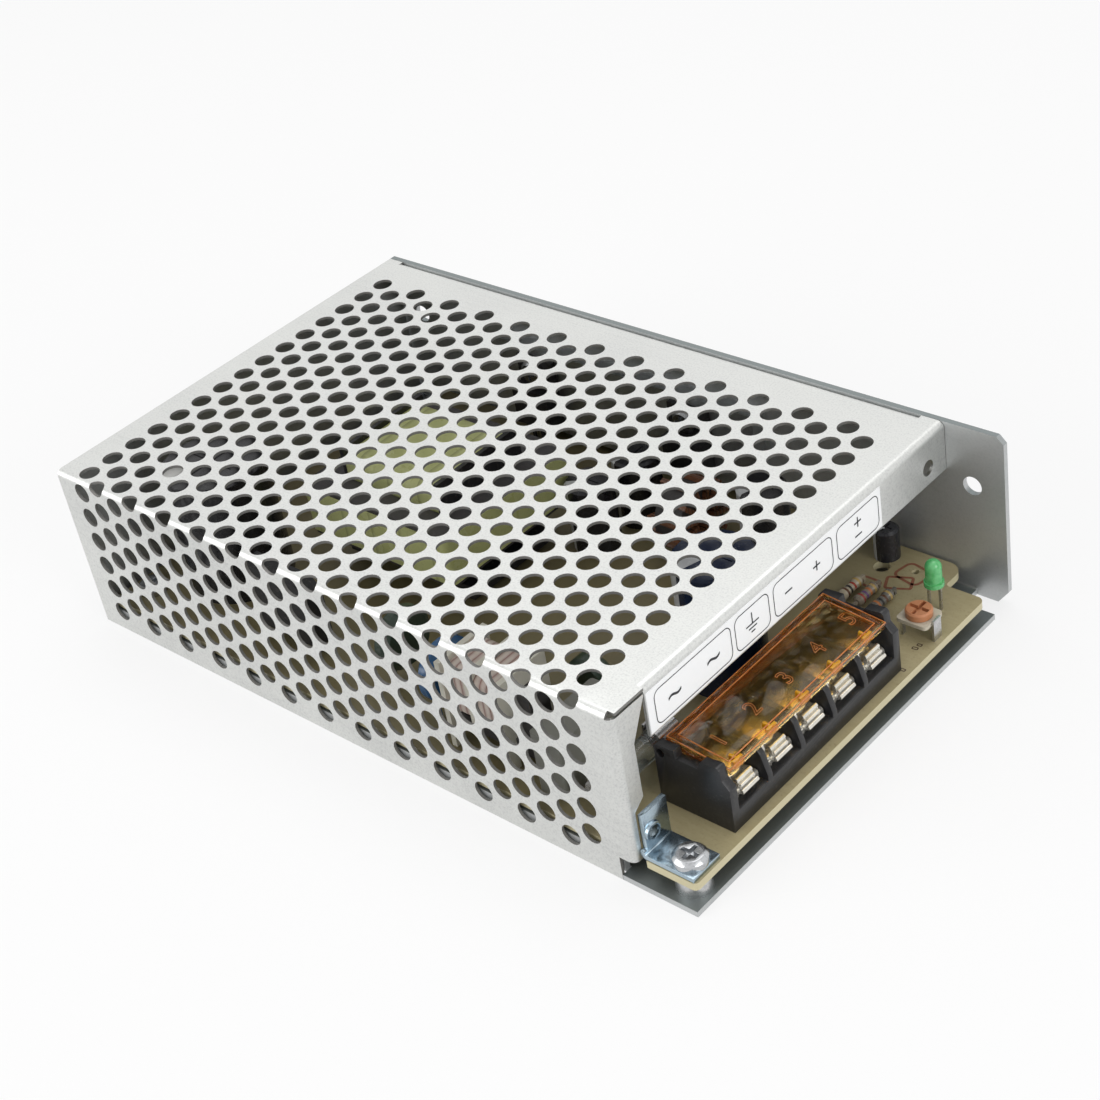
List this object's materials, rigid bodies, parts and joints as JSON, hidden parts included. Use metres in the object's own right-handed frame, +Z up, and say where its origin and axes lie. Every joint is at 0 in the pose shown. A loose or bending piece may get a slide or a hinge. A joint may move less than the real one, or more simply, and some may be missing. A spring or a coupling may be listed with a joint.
{
  "type": "enclosed power supply",
  "caption": "Open-ended perforated metal case over a power supply board, with a screw terminal block under a hinged clear cover, an indicator lamp and a trimmer.",
  "frame": {"origin": "middle of the case's footprint, at the underside of its bottom plate", "axes": "+X towards the terminal end, +Y towards the plain tall side wall, +Z up through the perforated top"},
  "size_m": [0.159, 0.098, 0.038],
  "materials": {
    "base_metal": "satin",
    "cover_metal": "satin",
    "label_film": "gloss",
    "fibre_sheet": "matte",
    "board": "satin",
    "zinc": "satin",
    "steel_screw": "gloss",
    "nickel": "gloss",
    "block_plastic": "gloss",
    "amber_plastic": "gloss",
    "lamp_plastic": "gloss",
    "tinned": "satin",
    "trimmer_plate": "matte",
    "rotor_plastic": "gloss",
    "resistor_coat": "gloss",
    "can_sleeve": "gloss",
    "ferrite": "matte",
    "bobbin_plastic": "matte",
    "white_bobbin": "matte",
    "coil_tape": "gloss",
    "copper_wire": "gloss",
    "disc_coat": "gloss",
    "box_coat": "gloss",
    "dark_coat": "matte",
    "package_black": "matte",
    "fuse_glass": "gloss",
    "spreader_metal": "satin"
  },
  "bodies": {
    "case": {"base_chassis": "base_metal", "bridge_rectifier": "package_black", "choke_bobbin": "white_bobbin", "choke_core": "ferrite", "choke_winding": "copper_wire", "control_chip": "package_black", "cover_screws": "steel_screw", "disc_capacitor_1": "disc_coat", "disc_capacitor_2": "disc_coat", "earth_bracket": "zinc", "fuse_caps": "nickel", "fuse_clips": "tinned", "fuse_tube": "fuse_glass", "heat_spreader": "spreader_metal", "insulating_sheet": "fibre_sheet", "led_leads": "tinned", "led_lens": "lamp_plastic", "main_capacitor": "can_sleeve", "optocoupler": "package_black", "output_capacitor_1": "can_sleeve", "output_capacitor_2": "can_sleeve", "output_capacitor_3": "can_sleeve", "output_capacitor_4": "can_sleeve", "output_choke_core": "ferrite", "output_choke_winding": "copper_wire", "output_rectifier": "package_black", "pcb": "board", "pcb_screws": "steel_screw", "perforated_cover": "cover_metal", "resistor_1": "resistor_coat", "resistor_2": "resistor_coat", "resistor_3": "resistor_coat", "small_capacitor": "can_sleeve", "spreader_screws": "steel_screw", "standoffs": "zinc", "switching_transistor": "package_black", "terminal_block": "block_plastic", "terminal_label": "label_film", "terminal_tabs": "nickel", "thermistor": "dark_coat", "transformer_bobbin": "bobbin_plastic", "transformer_coil": "coil_tape", "transformer_core": "ferrite", "transformer_tape": "coil_tape", "trimmer_body": "trimmer_plate", "trimmer_clip": "tinned", "x_capacitor": "box_coat"},
    "cover_flap": {"terminal_cover": "amber_plastic"},
    "rotor": {"trimmer_rotor": "rotor_plastic"},
    "clamp_1": {"clamp_plate_1": "nickel"},
    "screw_1": {"terminal_screw_1": "nickel"},
    "clamp_2": {"clamp_plate_2": "nickel"},
    "screw_2": {"terminal_screw_2": "nickel"},
    "clamp_3": {"clamp_plate_3": "nickel"},
    "screw_3": {"terminal_screw_3": "nickel"},
    "clamp_4": {"clamp_plate_4": "nickel"},
    "screw_4": {"terminal_screw_4": "nickel"},
    "clamp_5": {"clamp_plate_5": "nickel"},
    "screw_5": {"terminal_screw_5": "nickel"}
  },
  "joints": [
    {"name": "terminal_cover_hinge", "type": "hinge", "parent": "case", "child": "cover_flap", "pos_m": [0.0624, -0.0095, 0.0172], "axis": [0, -1, 0], "range_deg": [0, 58]},
    {"name": "trimmer_turn", "type": "hinge", "parent": "case", "child": "rotor", "pos_m": [0.0739, 0.0264, 0.011], "axis": [0, 0, 1], "range_deg": [-105, 105]},
    {"name": "clamp_lift_1", "type": "slide", "parent": "case", "child": "clamp_1", "axis": [0, 0, 1], "range_m": [0, 0.002]},
    {"name": "screw_turn_1", "type": "hinge", "parent": "clamp_1", "child": "screw_1", "pos_m": [0.071, -0.0285, 0.012], "axis": [0, 0, 1], "range_deg": [0, 1201]},
    {"name": "clamp_lift_2", "type": "slide", "parent": "case", "child": "clamp_2", "axis": [0, 0, 1], "range_m": [0, 0.002]},
    {"name": "screw_turn_2", "type": "hinge", "parent": "clamp_2", "child": "screw_2", "pos_m": [0.071, -0.019, 0.012], "axis": [0, 0, 1], "range_deg": [0, 1201]},
    {"name": "clamp_lift_3", "type": "slide", "parent": "case", "child": "clamp_3", "axis": [0, 0, 1], "range_m": [0, 0.002]},
    {"name": "screw_turn_3", "type": "hinge", "parent": "clamp_3", "child": "screw_3", "pos_m": [0.071, -0.0095, 0.012], "axis": [0, 0, 1], "range_deg": [0, 1201]},
    {"name": "clamp_lift_4", "type": "slide", "parent": "case", "child": "clamp_4", "axis": [0, 0, 1], "range_m": [0, 0.002]},
    {"name": "screw_turn_4", "type": "hinge", "parent": "clamp_4", "child": "screw_4", "pos_m": [0.071, 0, 0.012], "axis": [0, 0, 1], "range_deg": [0, 1201]},
    {"name": "clamp_lift_5", "type": "slide", "parent": "case", "child": "clamp_5", "axis": [0, 0, 1], "range_m": [0, 0.002]},
    {"name": "screw_turn_5", "type": "hinge", "parent": "clamp_5", "child": "screw_5", "pos_m": [0.071, 0.0095, 0.012], "axis": [0, 0, 1], "range_deg": [0, 1201]}
  ],
  "couplings": [
    {"joint": "screw_turn_1", "follows": "clamp_lift_1", "rad_per_m": 10472},
    {"joint": "screw_turn_2", "follows": "clamp_lift_2", "rad_per_m": 10472},
    {"joint": "screw_turn_3", "follows": "clamp_lift_3", "rad_per_m": 10472},
    {"joint": "screw_turn_4", "follows": "clamp_lift_4", "rad_per_m": 10472},
    {"joint": "screw_turn_5", "follows": "clamp_lift_5", "rad_per_m": 10472}
  ]
}
